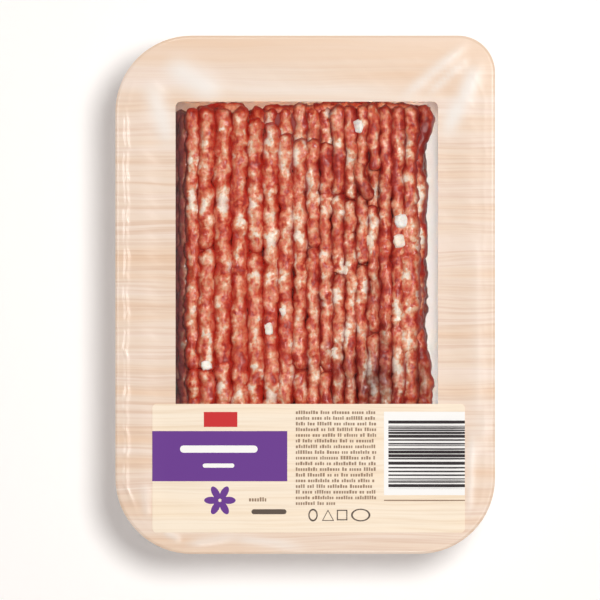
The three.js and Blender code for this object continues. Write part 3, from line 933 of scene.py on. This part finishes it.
# patches of fat that show in the photograph: place across and along, half width, half length
patches = [
    (-41.4, 48.1, 1.1, 3.3), (-37.3, 47.7, 1.8, 2.9), (-41.0, 35.6, 1.0, 4.8), (-36.9, 31.2, 2.2, 2.2),
    (-30.0, 32.6, 2.0, 3.3), (-34.7, 27.9, 2.2, 2.2), (-19.3, 34.1, 1.5, 4.4), (-14.1, 54.7, 2.2, 3.3),
    (-8.2, 52.5, 2.2, 5.5), (-3.4, 50.3, 2.0, 4.0), (1.3, 39.3, 1.7, 6.3), (5.4, 35.6, 1.3, 2.2),
    (0.6, 54.4, 2.2, 2.2), (-12.3, 20.9, 2.6, 4.8), (-4.2, 29.0, 1.5, 2.9), (-2.7, 23.1, 1.8, 3.3),
    (-8.6, 6.1, 1.7, 3.7), (-34.7, -13.7, 1.3, 2.9), (-30.3, -13.0, 1.8, 4.0), (-24.8, -35.1, 1.5, 2.9),
    (-4.2, -18.2, 1.5, 2.2), (5.8, 14.2, 1.5, 2.2), (10.9, -0.5, 1.5, 3.7), (10.2, -21.1, 1.3, 2.9),
    (14.2, 11.3, 1.8, 4.8), (15.3, 50.3, 1.3, 3.5), (14.2, 29.7, 1.5, 2.2), (10.2, 54.0, 1.8, 2.6),
    (23.1, 19.4, 1.5, 4.0), (23.4, 26.7, 1.1, 1.8), (18.3, 14.2, 1.5, 2.2), (17.5, 3.9, 1.7, 2.6),
    (22.0, 3.2, 1.3, 4.4), (14.6, -13.0, 1.3, 5.5), (19.4, -11.5, 1.8, 2.2), (22.7, -24.8, 1.5, 4.8),
    (26.0, -35.1, 1.8, 2.2), (36.3, 42.2, 2.9, 2.2), (38.3, 56.9, 0.7, 3.7), (33.0, -5.7, 1.5, 3.7),
    (32.3, -24.8, 2.2, 5.5), (37.1, -16.0, 1.8, 3.7), (35.6, -32.2, 1.1, 2.9), (27.8, 28.2, 1.1, 1.8),
    (-12.3, -35.1, 2.2, 2.6), (-9.0, -30.7, 1.1, 2.9), (1.7, -24.1, 1.3, 2.2), (-18.2, 8.3, 1.7, 4.0),
    (-18.9, 22.3, 1.3, 3.7), (34.8, 51.8, 1.8, 3.3), (26.0, -18.9, 1.5, 2.2), (-23.3, 26.7, 1.8, 2.2),
    (-31.1, -32.9, 1.5, 3.3), (-19.3, -34.5, 1.4, 2.8), (35.6, 8.0, 1.6, 4.4), (37.2, 24.0, 1.4, 3.0),
    (8.0, 66.0, 1.3, 2.0), (-13.2, 63.6, 1.4, 2.4), (-40.2, -34.0, 1.2, 3.0), (-26.4, -37.0, 1.4, 2.6),
    (41.4, 36.0, 1.1, 3.4), (41.2, 19.5, 1.4, 5.0), (41.6, -2.0, 1.3, 4.0), (1.0, 15.8, 1.6, 4.2),
    (37.0, 57.6, 1.8, 3.2), (9.7, 62.0, 1.8, 2.6), (36.7, -24.6, 1.9, 3.4), (-31.1, -17.8, 1.6, 3.0),
    (1.0, 55.8, 1.4, 2.6), (21.9, -13.8, 1.5, 3.0), (-38.0, -3.0, 1.5, 3.0), (5.3, 38.2, 1.3, 2.8),
    (10.7, 34.9, 1.4, 2.8), (-4.4, -29.0, 1.4, 3.0), (30.9, -24.3, 1.4, 3.0), (-2.9, 12.0, 1.4, 3.0),
    (-27.5, 10.0, 1.4, 3.0), (5.6, -1.8, 1.3, 3.2), (-19.6, 52.6, 1.4, 2.8), (-36.9, 53.4, 1.5, 2.6),
    (-14.5, -30.4, 1.4, 2.8), (-4.6, 46.4, 1.4, 2.6), (1.2, 35.0, 1.2, 2.6),
]
# lean patches: the same and an amount
leanPlaces = [
    (43.8, 57.0, 2.6, 13.0, 0.8), (-6.8, 60.2, 1.6, 3.0, 0.5), (32.0, 41.5, 1.6, 3.4, 0.9),
    (29.5, -7.0, 1.6, 4.0, 0.8), (24.4, -7.0, 1.5, 4.0, 0.8), (-23.2, 50.1, 1.7, 3.6, 0.8),
    (2.4, -13.4, 1.5, 3.4, 0.8), (-40.5, 25.2, 1.5, 3.6, 0.8), (29.0, 40.5, 1.6, 4.6, 0.8),
    (16.5, 55.8, 1.5, 3.2, 0.8), (-6.6, 36.4, 1.5, 3.0, 0.8), (32.6, 50.0, 1.5, 6.0, 0.7),
    (-29.0, 60.5, 1.6, 3.2, 0.7), (-23.9, -7.7, 1.6, 3.2, 0.7), (-3.3, -16.0, 1.5, 3.0, 0.6),
    (7.8, 8.6, 1.4, 3.0, 0.6), (28.8, 59.1, 1.5, 3.2, 0.7), (20.1, 5.2, 1.4, 3.2, 0.6),
    (24.8, 6.8, 1.4, 3.0, 0.5), (36.8, 21.0, 1.4, 3.2, 0.6), (-41.2, 44.3, 1.2, 3.0, 0.5),
]
# where the meat is duller and darker: place across and along, half width, half length, amount
dullPlaces = [
    (25.5, -31.5, 8, 10, 0.95), (12.8, -29, 3, 8, 0.4), (43.8, 57, 3.2, 15, 0.5), (22, 38, 7, 4, 0.3),
    (25.5, 2, 2.2, 12, 0.3), (42.6, -31, 3.2, 12, 0.6), (28.4, -14, 1.8, 6, 0.5), (8.2, -20, 1.6, 4, 0.4),
    (17.9, 48.3, 1.6, 3.5, 0.3),
]
# small patches laid at random besides, and how far fat stands up and resists the dullness
morePatches = {"count": 170, "seed": 5, "rise": 0.22, "clean": 0.4, "fallOff": 0.6, "fallPower": 1.4}


def strandEdges():
    widths = [strandWidth(i) for i in range(mince["count"])]
    return np.concatenate([[mince["firstEdge"]], mince["firstEdge"] + np.cumsum(widths)])


def softSpots(x, y, places):
    return sum(amount * np.exp(-((x - spotX) / halfWidth) ** 2 - ((y - spotY) / halfLength) ** 2)
               for spotX, spotY, halfWidth, halfLength, amount in places)


def layFat(piece):  # stores how near each place of the strands is to a patch of fat, and raises it a little
    more = morePatches
    draw = random.Random(more["seed"])
    middles = (strandEdges()[1:] + strandEdges()[:-1]) / 2
    found = [(*patch, 1.0) for patch in patches]
    for _ in range(more["count"]):
        found.append((draw.choice(middles[:-1].tolist()) + draw.uniform(-1.1, 1.1),
                      draw.uniform(mince["nearEnd"], mince["farEnd"]), draw.uniform(0.6, 1.3),
                      draw.uniform(0.8, 3.0), draw.uniform(0.3, 0.75)))
    points, normals = vertexValues(piece.data, "co"), vertexValues(piece.data, "normal")
    x, y, _ = points.reshape(-1, 3).T / mm
    dull = softSpots(x, y, dullPlaces)
    # the patches are ragged
    x = x + 0.55 * np.sin(2.3 * y + 1.1 * x) + 0.3 * np.sin(4.7 * y - 2.1 * x)
    y = y + 0.6 * np.sin(2.9 * x + 0.7 * y)
    fat = np.zeros(len(x))
    for patchX, patchY, halfWidth, halfLength, amount in found:
        reach = ((x - patchX) / halfWidth) ** 2 + ((y - patchY) / halfLength) ** 2
        fat = np.maximum(fat, amount * np.exp(-more["fallOff"] * reach ** more["fallPower"]))
    fat -= softSpots(x, y, leanPlaces)
    piece.data.vertices.foreach_set("co", points + normals * np.repeat(fat, 3) * more["rise"] * mm)
    storeValues(piece.data, "fat", fat)
    storeValues(piece.data, "dull", np.clip(dull, 0, 1) * (1 - more["clean"] * np.maximum(fat, 0)))


core = {"sideInset": 1.2, "nearInset": 1.5, "farInset": 0.6, "radius": 7, "drop": 1.0, "spacing": 4}


def makeCore(meat):
    left, right = mince["sides"][0][0] + core["sideInset"], mince["sides"][1][0] - core["sideInset"]
    near, far = mince["nearEnd"] + core["nearInset"], mince["farEnd"] - core["farInset"]
    top = mince["top"] - mince["widthMean"] * mince["coreSink"] - core["drop"]
    rings = []
    for inset, height in ((4, minceFoot), (1, minceFoot + 5), (0, top - 8), (0.3, top - 2.5), (1.5, top)):
        outline = roundedOutline(left + inset, right - inset, near + inset, far - inset,
                                 [core["radius"]] * 4, 8)
        rings.append([(x, y, height) for x, y in spaced(outline, core["spacing"])])
    count = min(len(ring) for ring in rings)
    rings = [[ring[round(k * len(ring) / count) % len(ring)] for k in range(count)] for ring in rings]
    handOver(ringSolid("minceCore", rings, meat), "raw_mince", "mince")


def fatMaterial():
    # pork fat: cream, soft sheen, light goes well in
    material, add, shader = newMaterial("pork fat", {
        "Roughness": 0.38, "IOR": 1.45, "Subsurface Weight": 0.25, "Subsurface Scale": 0.0015,
        "Subsurface Radius": (1.0, 0.6, 0.4), "Coat Weight": 0.2, "Coat Roughness": 0.15})
    tone = add("ShaderNodeAttribute", attribute_name="fatTone").outputs["Fac"]
    colours = add("ShaderNodeValToRGB", {0: tone}, stops=[
        (0.0, "#e6a98c"), (0.4, "#f2c8ac"), (0.75, "#fbdfc8"), (1.0, "#fffaf3")])
    place = add("ShaderNodeTexCoord").outputs["Object"]
    noise, mottled = mottle(add, colours, place, 1.1, 0.92, 1.1)
    bump = add("ShaderNodeBump", {"Strength": 0.25, "Distance": 0.15 * mm, "Height": noise})
    setInputs(shader, {"Base Color": mottled, "Normal": bump})
    return material


def fatTree(settings):
    tree, add, given, output = newTree("fatTree", settings)
    # a cube of fat with its corners well rounded
    cube = add("GeometryNodeMeshCube", {
        "Size": (1.7, 1.7, 1.7), "Vertices X": given["Rows"], "Vertices Y": given["Rows"],
        "Vertices Z": given["Rows"]})
    corner = add("GeometryNodeInputPosition")
    rounded = add("ShaderNodeVectorMath", {0: corner}, operation="NORMALIZE")
    between = add("ShaderNodeMix", {0: 0.62, 4: corner, 5: rounded}, data_type="VECTOR").outputs[1]
    ball = add("GeometryNodeSetPosition", {"Geometry": cube, "Position": between})
    size, turn = [add("GeometryNodeInputNamedAttribute", {"Name": name}, data_type="FLOAT_VECTOR")
                  for name in ("fatSize", "fatTurn")]
    turned = add("FunctionNodeEulerToRotation", {0: turn})
    many = add("GeometryNodeInstanceOnPoints", {
        "Points": given["Geometry"], "Instance": ball, "Rotation": turned, "Scale": size})
    real = add("GeometryNodeRealizeInstances", {0: many})
    position = add("GeometryNodeInputPosition")
    height = lumps(add, position, given["Lump Size"], given["Lump Height"], 1.0)
    finishTree(add, real, height, given["Material"], output)
    return tree


fatCubes = {
    "seed": 5, "sink": 0.8, "steepest": 0.8,
    # the white cubes that stand out: place across and along, half width, half length, tone
    "places": [
        (18.9, 61.0, 2.3, 2.6, 1.0), (35.4, 26.7, 3.2, 2.8, 1.0), (34.1, 19.4, 2.3, 2.7, 0.85),
        (-35.8, -25.5, 2.1, 1.9, 0.95), (-13.4, -12.3, 1.6, 2.6, 0.9), (-8.2, -6.0, 1.3, 1.6, 0.9),
        (14.4, 9.4, 1.5, 2.6, 0.8), (10.2, -21.1, 1.1, 2.2, 0.8), (23.1, 19.4, 1.4, 2.4, 0.7),
    ],
}


def makeFat():
    draw = random.Random(fatCubes["seed"])
    edges = strandEdges()
    places, sizes, turns, tones = [], [], [], []
    for x, y, halfWidth, halfLength, tone in fatCubes["places"]:
        i = int(np.searchsorted(edges, x)) - 1
        radius = strandWidth(i) / 2 * mince["overlap"]
        z = mince["top"] - radius - mince["edgeDrops"].get(i, 0) + mince["rise"] * wander(i + 5, y)
        middle = edges[i] + strandWidth(i) / 2 + mince["sway"] * wander(i, y)
        lean = math.asin(np.clip((x - middle) / radius, -fatCubes["steepest"], fatCubes["steepest"]))
        reach = fatCubes["sink"] * radius
        places.append((middle + reach * math.sin(lean), y, z + reach * math.cos(lean)))
        sizes.append((halfWidth, halfLength, 0.5 * halfWidth + 0.25))
        turns.append((0, lean, draw.uniform(-0.3, 0.3)))
        tones.append(tone)
    mesh = bpy.data.meshes.new("fatPieces")
    mesh.from_pydata((np.array(places) * mm).tolist(), [], [])
    storeValues(mesh, "fatSize", (np.array(sizes) * mm).ravel(), "FLOAT_VECTOR")
    storeValues(mesh, "fatTurn", np.array(turns).ravel(), "FLOAT_VECTOR")
    storeValues(mesh, "fatTone", tones)
    piece = newObject("fatPieces", mesh)
    settings = {"Material": fatMaterial(), "Rows": 12, "Lump Size": 1.7 * mm, "Lump Height": 0.28 * mm}
    evaluate(piece, fatTree(settings), settings)
    faceOutwards(piece)
    handOver(piece, "raw_mince", "mince")


makeStrands(rawMince())
makeCore(deepMeat())
makeFat()
